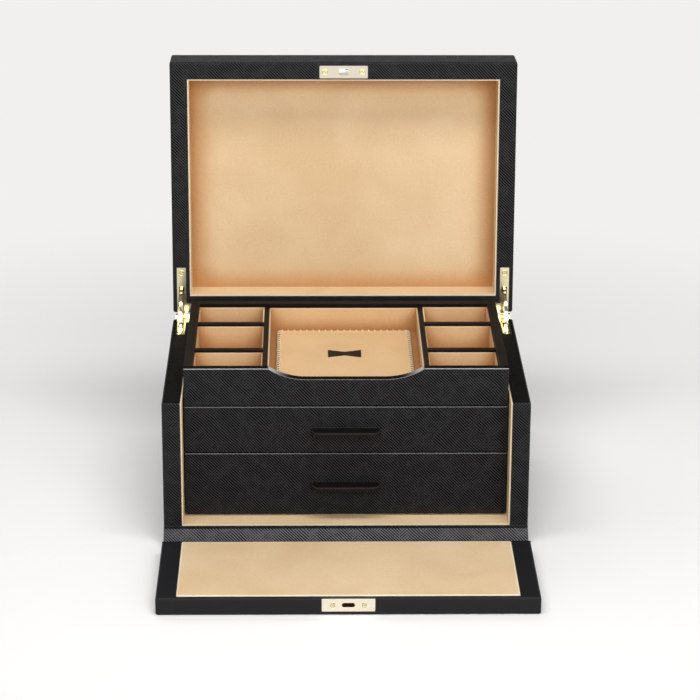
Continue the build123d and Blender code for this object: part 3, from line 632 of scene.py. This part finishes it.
def padded_slab(
    half_x, half_y, thickness, roll, crown, spacing, corner, rim, pinch=None, channel=None, sides_only=False
):
    """A stuffed panel about its own centre, its underside at height 0: rings run in from a rolled
    edge to a crowned middle. The faces within rim of the edge, or of the left and right edges if
    sides_only, take the piece's second material.
    pinch(x, y) draws the edge in, and channel is the depth, width and inset of a sewn line."""
    mesh = bmesh.new()
    count_x = max(8, round(2 * half_x / spacing))
    count_y = max(8, round(2 * half_y / spacing))
    outline = slab_rings(count_x, count_y)
    profile = [(0.0, 0.0)]
    for step in range(9):
        turn = math.pi / 2 * step / 8
        profile.append((roll * (1 - math.cos(turn)), thickness - roll + roll * math.sin(turn)))
    inset = roll
    while inset < 0.86 * min(half_x, half_y):
        inset += 0.45 * MM if inset < 4.5 * MM else 0.16 * inset
        profile.append((min(inset, 0.9 * min(half_x, half_y)), thickness))
    rings = []
    for inset, height in profile:
        ring = []
        for share_x, share_y in outline:
            reach_x = half_x - inset
            reach_y = half_y - inset
            x, y = share_x * reach_x, share_y * reach_y
            # Round the four corners.
            radius = max(corner - inset, 0.0)
            over_x = abs(x) - (reach_x - radius)
            over_y = abs(y) - (reach_y - radius)
            if radius > 0 and over_x > 0 and over_y > 0:
                far = math.hypot(over_x, over_y)
                if far > radius:
                    x = math.copysign(reach_x - radius + over_x * radius / far, x)
                    y = math.copysign(reach_y - radius + over_y * radius / far, y)
            lift = 0.0
            if height >= thickness - 1e-9:
                deep = min(half_x - abs(x), half_y - abs(y))
                lift = crown * smooth_step(0.0, min(28 * MM, 0.6 * min(half_x, half_y)), deep)
                lift += 0.25 * crown * noise.noise(Vector((x, y, 0.02)) / 0.03) * smooth_step(0, 0.012, deep)
                if channel:
                    depth, width, line = channel
                    lift -= depth * math.exp(-(((deep - line) / width) ** 2))
            if pinch and height > 0.2 * thickness:
                draw = pinch(share_x * half_x, share_y * half_y)
                fade = math.exp(-inset / (1.4 * MM))
                lift -= 0.5 * draw * fade
                if abs(share_x) >= 1 - 1e-9:
                    x -= math.copysign(draw * fade, x)
                else:
                    y -= math.copysign(draw * fade, y)
            ring.append(mesh.verts.new((x, y, height + lift)))
        rings.append(ring)
    count = len(outline)
    for (inset, _), lower, upper in zip(profile, rings, rings[1:]):
        for i in range(count):
            face = mesh.faces.new((lower[i], lower[(i + 1) % count], upper[(i + 1) % count], upper[i]))
            dark = inset < rim and (not sides_only or abs(outline[i][0]) > 1 - 1e-9)
            face.material_index = 1 if dark else 0
    mesh.faces.new(rings[-1])
    mesh.faces.new(list(reversed(rings[0])))
    return mesh


def tube(mesh, points, radius, sides=6):
    """A round thread through these points, closed at both ends."""
    rings = []
    for i, point in enumerate(points):
        ahead = points[min(i + 1, len(points) - 1)] - points[max(i - 1, 0)]
        turn = ahead.to_track_quat("Z", "Y")
        size = radius if 0 < i < len(points) - 1 else 0.55 * radius
        ring = []
        for k in range(sides):
            angle = 2 * math.pi * k / sides
            spoke = Vector((size * math.cos(angle), size * math.sin(angle), 0))
            ring.append(mesh.verts.new(point + turn @ spoke))
        rings.append(ring)
    for lower, upper in zip(rings, rings[1:]):
        for k in range(sides):
            mesh.faces.new((lower[k], lower[(k + 1) % sides], upper[(k + 1) % sides], upper[k]))
    mesh.faces.new(list(reversed(rings[0])))
    mesh.faces.new(rings[-1])


def edge_places(length, pitch):
    """Stitch places along one side, evenly spread and clear of its corners."""
    count = max(2, round(length / pitch))
    return [-length / 2 + length * (i + 0.5) / count for i in range(count)]


# Settings a user would change


class LeatherSettings(bpy.types.PropertyGroup):
    """The black leather"""

    grain_pitch: bpy.props.FloatProperty(
        name="Grain pitch", description="Distance between the ridges", default=1.6 * MM, min=0.5 * MM,
        subtype="DISTANCE", unit="LENGTH",
    )
    grain_depth: bpy.props.FloatProperty(
        name="Grain depth", description="Height of the ridges", default=0.16 * MM, min=0.0,
        subtype="DISTANCE", unit="LENGTH",
    )


class SuedeSettings(bpy.types.PropertyGroup):
    """The tan suede, its pads and their stitches"""

    panel_crown: bpy.props.FloatProperty(
        name="Panel crown", description="How far the middle of the lid's panel stands up", default=1.6 * MM,
        subtype="DISTANCE", unit="LENGTH",
    )
    pad_crown: bpy.props.FloatProperty(
        name="Pad crown", description="How far the middle of the tray's pad stands up", default=0.8 * MM,
        subtype="DISTANCE", unit="LENGTH",
    )
    lining_rise: bpy.props.FloatProperty(
        name="Lining rise", description="How far the flap's lining stands up from its leather",
        default=0.8 * MM, subtype="DISTANCE", unit="LENGTH",
    )
    stitch_pitch: bpy.props.FloatProperty(
        name="Stitch pitch", description="Distance between the pad's edge stitches", default=4.7 * MM,
        subtype="DISTANCE", unit="LENGTH",
    )
    thread_radius: bpy.props.FloatProperty(
        name="Thread radius", description="Half the thickness of the thread", default=0.75 * MM,
        subtype="DISTANCE", unit="LENGTH",
    )


class StudioSettings(bpy.types.PropertyGroup):
    """The studio: its floor, lamps and camera"""

    floor_colour: bpy.props.FloatVectorProperty(
        name="Floor colour", description="Colour of the floor", default=linear("#D4D3D1")[:3],
        subtype="COLOR", min=0.0, max=1.0,
    )
    key_power: bpy.props.FloatProperty(
        name="Key power", description="Power of the large lamp", default=27.0, min=0.0, unit="POWER"
    )
    strip_power: bpy.props.FloatProperty(
        name="Strip power", description="Power of the long lamp above the front", default=15.5, min=0.0,
        unit="POWER",
    )
    back_power: bpy.props.FloatProperty(
        name="Back power", description="Power of the lamp behind the box", default=7.0, min=0.0,
        unit="POWER",
    )
    fill: bpy.props.FloatProperty(
        name="Fill", description="Strength of the light from all round", default=0.18, min=0.0
    )
    lens: bpy.props.FloatProperty(
        name="Lens", description="Focal length on a 36 mm sensor", default=137.8, min=10.0, unit="CAMERA"
    )


class BoxSettings(bpy.types.PropertyGroup):
    """Everything that can be changed on the box"""

    leather: bpy.props.PointerProperty(type=LeatherSettings)
    suede: bpy.props.PointerProperty(type=SuedeSettings)
    studio: bpy.props.PointerProperty(type=StudioSettings)


# Operators


class BOX_OT_leather(bpy.types.Operator):
    """Covers the case, lid, flap, drawers and tray in black leather"""

    bl_idname = "cufflink_box.leather"
    bl_label = "Leather"

    def execute(self, context):
        settings = context.scene.cufflink_box.leather
        cover = crossgrain_leather("Crossgrain leather", settings, GRAIN_VALLEY, GRAIN_CREST)
        coat(cover, "case_leather_cover")
        # The lid's top is painted only a quarter as dark as the case's.
        coat(
            crossgrain_leather(
                "Crossgrain leather of the lid", settings, GRAIN_VALLEY, GRAIN_CREST, up_dull_and_shade=0.25
            ),
            "lid_leather_cover",
        )
        # The fronts' upper edges are painted pale as a painted highlight, most on the tray.
        fronts = crossgrain_leather(
            "Crossgrain leather of the drawers", settings, GRAIN_VALLEY, FRONT_CREST, upper_edge_highlight=0.35
        )
        coat(fronts, "lower_drawer_front", "upper_drawer_front")
        coat(
            crossgrain_leather(
                "Crossgrain leather of the tray", settings, GRAIN_VALLEY, GRAIN_CREST, upper_edge_highlight=1.0
            ),
            "tray_front",
        )
        flap = crossgrain_leather(
            "Crossgrain leather with plain inside", settings, GRAIN_VALLEY, GRAIN_CREST, plain_inside=True
        )
        coat(flap, "flap_leather_cover")
        # The strip over the mitre is painted in a lighter copy of the leather, a painted highlight of the
        # light its 45 degree slope catches. It lies at 45 degrees, so its rows are counted along the slope.
        # Above 11.6 mm it is painted near black, a painted shadow at its top edge.
        strip = crossgrain_leather(
            "Crossgrain leather with painted slope highlight", settings, SLOPE_VALLEY, SLOPE_HIGHLIGHT_CREST, rows=math.sqrt(2),
            shaded_above=11.6 * MM,
        )
        coat(strip, "base_hinge_leather", "flap_hinge_leather")
        # Its edges get a painted highlight.
        edge = burnished_leather("Burnished leather", BURNISHED)
        coat(
            edge,
            "tray_back",
            "tray_left_wall",
            "tray_right_wall",
            "tray_bottom",
            "tray_long_dividers",
            "tray_cross_dividers",
            "drawer_shelf",
            "tray_shelf",
            "bow_inlay",
        )
        # The pulls' edges are painted much lighter, a painted highlight on their rounded noses.
        pull = burnished_leather("Burnished leather of the pulls", BURNISHED, edge_highlight_gain=22.0)
        for drawer in ("lower_drawer", "upper_drawer"):
            coat(edge, *[drawer + part for part in ("_left_side", "_right_side", "_back", "_bottom")])
            coat(pull, drawer + "_pull")
        return {"FINISHED"}


class BOX_OT_linings(bpy.types.Operator):
    """Lines the inside in tan suede, with a soft-edged lining on the flap"""

    bl_idname = "cufflink_box.linings"
    bl_label = "Suede linings"

    def execute(self, context):
        settings = context.scene.cufflink_box.suede
        suede = brushed_suede("Tan suede", SUEDE_TAN)
        coat(
            suede,
            "floor_lining",
            "wall_linings",
            "lid_side_linings",
            "lower_drawer_lining",
            "upper_drawer_lining",
        )
        # The tray's linings are painted darker, and redder in their corners: painted shade.
        coat(brushed_suede("Tan suede of the tray, painted shaded", TRAY_SHADED_TAN, depth=14 * MM), "tray_linings")
        low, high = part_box("flap_lining")
        middle = (low + high) / 2
        mesh = padded_slab(
            (high.x - low.x) / 2, (high.y - low.y) / 2, high.z - low.z + settings.lining_rise,
            0.7 * MM, 0.15 * MM, 2.5 * MM, 0.8 * MM, 1.0 * MM,
        )
        bmesh.ops.translate(mesh, verts=mesh.verts, vec=(middle.x, middle.y, low.z))
        # The lining's rim is painted pale, a painted highlight on its edge.
        lit_rim = brushed_suede("Suede edge with painted highlight", SUEDE_EDGE_HIGHLIGHT, edge_highlight=False)
        face = brushed_suede("Tan suede sheet", SUEDE_TAN, edge_highlight=False)
        lining = new_piece("flap_suede_lining", mesh, "flap", (face, lit_rim))
        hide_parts("flap_lining")
        return {"FINISHED"}


class BOX_OT_lid_panel(bpy.types.Operator):
    """Sets the padded suede panel into the lid"""

    bl_idname = "cufflink_box.lid_panel"
    bl_label = "Lid panel"

    def execute(self, context):
        settings = context.scene.cufflink_box.suede
        hinge = next(joint for joint in frame["joints"] if joint["name"] == "lid_hinge")
        pivot = Vector(hinge["pos_m"])
        turn = Matrix.Rotation(math.radians(hinge["range_deg"][0]), 4, Vector(hinge["axis"]))
        close = Matrix.Translation(pivot) @ turn @ Matrix.Translation(-pivot)
        corners = [close @ point.co for point in frame["nodes"]["lid_panel_pad"].data.vertices]
        low = Vector([min(corner[i] for corner in corners) for i in range(3)])
        high = Vector([max(corner[i] for corner in corners) for i in range(3)])
        middle = (low + high) / 2
        # The panel is made face up and turned over, because a closed lid's panel faces down.
        mesh = padded_slab(
            (high.x - low.x) / 2, (high.y - low.y) / 2, high.z - low.z, 1.2 * MM, settings.panel_crown,
            2.5 * MM, 1.0 * MM, 0.5 * MM,
        )
        over = Matrix.Translation((middle.x, middle.y, high.z)) @ Matrix.Rotation(math.pi, 4, "X")
        bmesh.ops.transform(mesh, matrix=close.inverted() @ over, verts=mesh.verts)
        # Painted shade darkens the panel towards the lid's rim.
        suede = brushed_suede("Padded tan suede", SUEDE_TAN, edge_highlight=False, depth=22 * MM)
        # The panel's rolled edge is painted darker, painted shade where it turns under.
        shaded_rim = brushed_suede("Suede with painted fold shade", SUEDE_FOLD_SHADE, edge_highlight=False)
        panel = new_piece("lid_panel_suede", mesh, "lid", (suede, shaded_rim))
        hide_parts("lid_panel_pad")
        return {"FINISHED"}


class BOX_OT_metalwork(bpy.types.Operator):
    """Plates the hinges, plates, screws and stays in pale gold, and leaves the bolt and keeper bare"""

    bl_idname = "cufflink_box.metalwork"
    bl_label = "Metalwork"

    def execute(self, context):
        pale = plated_brass("Champagne gold plated brass", "#F6ECD8", 0.1)
        coat(pale, "lid_lock_plate", "lock_plate", "key_escutcheon")
        gold = plated_brass("Pale gold plated brass", "#F8EAC4", 0.12)
        coat(gold, "case_hinge_leaves", "lid_hinge_leaves", "quadrant_stays")
        turned = plated_brass("Turned brass", "#E2D2A6", 0.2)
        coat(turned, "hinge_pins", "case_leaf_screws", "lid_screws", "lock_screws")
        steel = drawn_steel("Bare steel", "#A7A5A1", 0.3)
        coat(steel, "lock_bolt", "lid_keeper")
        coat(lacquered_steel("Red-brown lacquered steel", "#4A1E12"), "lock_case")
        return {"FINISHED"}


class BOX_OT_boards(bpy.types.Operator):
    """Finishes the boards inside the leather and the felt under the base"""

    bl_idname = "cufflink_box.boards"
    bl_label = "Boards and felt"

    def execute(self, context):
        board = fibreboard("Fibreboard", "#8A6B4A")
        coat(
            board,
            "base_board",
            "case_left_wall",
            "case_right_wall",
            "case_back_wall",
            "lid_top_board",
            "lid_front_rail",
            "lid_back_rail",
            "lid_left_rail",
            "lid_right_rail",
            "flap_board",
        )
        coat(pressed_felt("Black felt", "#17171A"), "base_felt")
        return {"FINISHED"}


class BOX_OT_tray_pad(bpy.types.Operator):
    """Lays the stitched suede pad in the middle of the tray"""

    bl_idname = "cufflink_box.tray_pad"
    bl_label = "Tray pad"

    def execute(self, context):
        settings = context.scene.cufflink_box.suede
        low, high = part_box("tray_pad")
        half_x = (high.x - low.x) / 2
        half_y = (high.y - low.y) / 2
        middle = (low + high) / 2
        pitch = settings.stitch_pitch
        along_x = edge_places(2 * half_x - 2 * MM, pitch)
        along_y = edge_places(2 * half_y - 2 * MM, pitch)

        def pinch(x, y):
            if abs(abs(x) - half_x) < 1e-6:
                near = min(abs(y - place) for place in along_y)
            else:
                near = min(abs(x - place) for place in along_x)
            return 0.5 * MM * math.exp(-((near / (0.8 * MM)) ** 2))

        thickness = high.z - low.z - settings.pad_crown
        mesh = padded_slab(
            half_x, half_y, thickness, 1.1 * MM, settings.pad_crown, 0.5 * MM, 1.6 * MM, 2.0 * MM, pinch,
            (0.25 * MM, 0.5 * MM, 4.2 * MM), sides_only=True,
        )
        bmesh.ops.translate(mesh, verts=mesh.verts, vec=(middle.x, middle.y, low.z))
        suede = brushed_suede("Padded suede", PAD_TAN, edge_highlight=False)
        # The pad's stitched sides are painted dark brown, painted shadow round the stitches.
        shaded_rim = brushed_suede("Suede with painted stitch shadow", SUEDE_STITCH_SHADOW, edge_highlight=False)
        pad = new_piece("tray_pad_suede", mesh, "tray", (suede, shaded_rim))
        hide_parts("tray_pad")

        threads = bmesh.new()
        radius = settings.thread_radius
        top = low.z + thickness
        for side in (-1, 1):
            for place in along_y:
                start = Vector((middle.x + side * half_x, middle.y + place, 0))
                path = self.whip_stitch(start, Vector((-side, 0, 0)), Vector((0, 1, 0)), low.z, top, radius)
                tube(threads, path, radius)
            for place in along_x:
                start = Vector((middle.x + place, middle.y + side * half_y, 0))
                path = self.whip_stitch(start, Vector((0, -side, 0)), Vector((1, 0, 0)), low.z, top, radius)
                tube(threads, path, radius)
        thread = waxed_thread("Tan waxed thread", "#F0DDBA")
        new_piece("tray_pad_stitches", threads, "tray", (thread,))
        return {"FINISHED"}

    @staticmethod
    def whip_stitch(edge, inward, along, bottom, top, radius):
        """The path of one stitch, from its hole in the face, slanting over the edge, to the underside."""
        path = []
        for inset, shift, height in (
            (2.9 * MM, 0.6 * MM, top - 0.3 * MM),
            (2.4 * MM, 0.5 * MM, top + 0.05 * MM),
            (1.5 * MM, 0.2 * MM, top + 0.15 * MM),
            (0.8 * MM, 0.0, top - 0.1 * MM),
            (0.35 * MM, -0.2 * MM, top - 0.7 * MM),
            (0.3 * MM, -0.3 * MM, top - 1.4 * MM),
            (0.5 * MM, -0.4 * MM, bottom + radius),
        ):
            point = edge + inward * inset + along * shift
            point.z = height
            path.append(point)
        return path


class BOX_OT_stage(bpy.types.Operator):
    """Makes the floor, the lamps and the camera"""

    bl_idname = "cufflink_box.stage"
    bl_label = "Floor, lamps and camera"

    def execute(self, context):
        scene = context.scene
        settings = scene.cufflink_box.studio
        mesh = bmesh.new()
        bmesh.ops.create_grid(mesh, x_segments=2, y_segments=2, size=FLOOR_HALF_SIZE)
        data = bpy.data.meshes.new("Studio_floor")
        mesh.to_mesh(data)
        mesh.free()
        floor = bpy.data.objects.new("Studio_floor", data)
        scene.collection.objects.link(floor)
        floor.data.materials.append(matt_paper("Background paper", settings.floor_colour))

        self.lamp(scene, "Key lamp", KEY_PLACE, KEY_SIZE, settings.key_power)
        self.lamp(scene, "Strip lamp", STRIP_PLACE, STRIP_SIZE, settings.strip_power)

        self.lamp(scene, "Back lamp", BACK_PLACE, BACK_SIZE, settings.back_power)

        scene.world = self.studio_air(settings.fill)

        data = bpy.data.cameras.new("Camera")
        data.lens = settings.lens
        data.sensor_width = SENSOR_WIDTH
        data.clip_end = 50.0
        camera = bpy.data.objects.new("Camera", data)
        scene.collection.objects.link(camera)
        pitch, yaw, roll = (math.radians(turn) for turn in (CAMERA_PITCH, CAMERA_YAW, CAMERA_ROLL))
        ahead = Vector((math.sin(yaw) * math.cos(pitch), math.cos(yaw) * math.cos(pitch), -math.sin(pitch)))
        right = Vector((math.cos(yaw), -math.sin(yaw), 0.0))
        up = right.cross(ahead)
        across = right * math.cos(roll) + up * math.sin(roll)
        above = up * math.cos(roll) - right * math.sin(roll)
        turn = Matrix((across, above, -ahead)).transposed()
        camera.matrix_world = Matrix.Translation(CAMERA_PLACE) @ turn.to_4x4()
        scene.camera = camera
        scene.view_settings.view_transform = "Standard"
        return {"FINISHED"}

    @staticmethod
    def studio_air(fill):
        """An even fill from all round. Low down, what looks at it sees the pale wall of the studio."""
        world = bpy.data.worlds.new("Studio")
        world.use_nodes = True
        tree = world.node_tree
        tree.nodes.clear()
        way = add(tree, "ShaderNodeTexCoord")
        height = add(tree, "ShaderNodeSeparateXYZ", {0: way.outputs["Generated"]})
        low_down = add(
            tree,
            "ShaderNodeMapRange",
            {"Value": height.outputs["Z"], "From Min": 0.3, "From Max": 0.12},
            interpolation_type="SMOOTHSTEP",
        )
        share = add(
            tree, "ShaderNodeMath", {0: low_down.outputs[0], 1: seen_directly(tree)}, operation="MULTIPLY"
        )
        strength = add(
            tree, "ShaderNodeMapRange", {"Value": share.outputs[0], "To Min": fill, "To Max": PALE_WALL}
        )
        sky = add(
            tree,
            "ShaderNodeBackground",
            {"Color": linear("#F4F5F7"), "Strength": strength.outputs[0]},
        )
        add(tree, "ShaderNodeOutputWorld", {"Surface": sky.outputs[0]})
        return world

    @staticmethod
    def lamp(scene, name, place, size, power):
        """A soft rectangular lamp that looks at the box."""
        data = bpy.data.lights.new(name, "AREA")
        data.shape = "RECTANGLE"
        data.size, data.size_y = size
        data.energy = power
        lamp = bpy.data.objects.new(name, data)
        scene.collection.objects.link(lamp)
        lamp.location = place
        look = Vector(LAMPS_LOOK_AT) - Vector(place)
        lamp.rotation_euler = look.to_track_quat("-Z", "Y").to_euler()


class BOX_PT_panel(bpy.types.Panel):
    """The sidebar panel of the cufflink box"""

    bl_idname = "BOX_PT_panel"
    bl_label = "Cufflink box"
    bl_space_type = "VIEW_3D"
    bl_region_type = "UI"
    bl_category = "Cufflink box"

    def draw(self, context):
        settings = context.scene.cufflink_box
        for group in (settings.leather, settings.suede, settings.studio):
            box = self.layout.box()
            for name in group.__annotations__:
                box.prop(group, name)
        for operator in OPERATORS:
            self.layout.operator(operator.bl_idname)


OPERATORS = (
    BOX_OT_boards,
    BOX_OT_leather,
    BOX_OT_linings,
    BOX_OT_lid_panel,
    BOX_OT_metalwork,
    BOX_OT_tray_pad,
    BOX_OT_stage,
)
CLASSES = (LeatherSettings, SuedeSettings, StudioSettings, BoxSettings, *OPERATORS, BOX_PT_panel)


def register():
    for item in CLASSES:
        bpy.utils.register_class(item)
    bpy.types.Scene.cufflink_box = bpy.props.PointerProperty(type=BoxSettings)


def unregister():
    del bpy.types.Scene.cufflink_box
    for item in reversed(CLASSES):
        bpy.utils.unregister_class(item)


def main():
    register()
    for operator in OPERATORS:
        group, name = operator.bl_idname.split(".")
        getattr(getattr(bpy.ops, group), name)()


if __name__ == "__main__":
    main()
